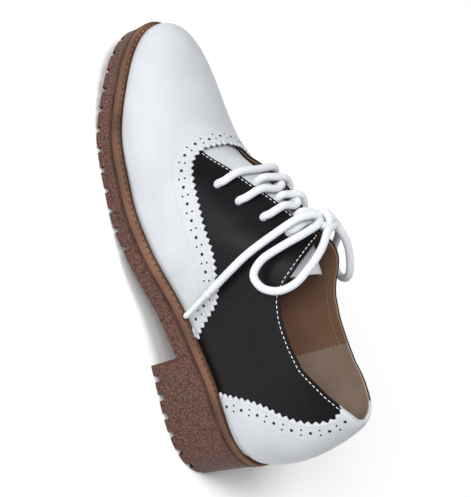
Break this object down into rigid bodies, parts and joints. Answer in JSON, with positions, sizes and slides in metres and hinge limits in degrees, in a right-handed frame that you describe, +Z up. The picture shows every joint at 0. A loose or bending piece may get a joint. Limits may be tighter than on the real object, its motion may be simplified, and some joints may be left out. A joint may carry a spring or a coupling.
{
  "type": "saddle shoe",
  "caption": "Left lace-up saddle shoe with a white vamp and heel counter, a black saddle, a leather welt and a lugged rubber sole with a block heel.",
  "frame": {"origin": "centre of the shoe's box on the floor, measured without the bow of the lace", "axes": "+X towards the toe, +Y towards the outer side of the foot, +Z up"},
  "size_m": [0.274, 0.091, 0.1267],
  "materials": {
    "white_leather": "smooth semi-gloss with brogue punching and pinked edges",
    "black_leather": "smooth semi-gloss with white edge stitching, tan leather lining inside",
    "tan_leather": "matte lining leather",
    "tongue_leather": "smooth semi-gloss",
    "welt_leather": "stained and waxed edge with stitch marks",
    "brown_rubber": "moulded with a fine pebbled texture",
    "white_cord": "round braided lace",
    "clear_plastic": "clear film over the white lace"
  },
  "bodies": {
    "root": {"outsole": "brown_rubber", "welt": "welt_leather", "insole": "tan_leather", "upper": "black_leather", "vamp": "white_leather", "counter": "white_leather", "tongue": "tongue_leather", "lace_bar_1": "white_cord", "lace_cross_2": "white_cord", "lace_cross_3": "white_cord", "lace_cross_4": "white_cord", "lace_knot": "white_cord", "lace_loop_lateral": "white_cord", "lace_loop_medial": "white_cord", "lace_end_lateral": "white_cord", "lace_end_medial": "white_cord", "aglet_lateral": "clear_plastic", "aglet_medial": "clear_plastic"}
  },
  "joints": []
}
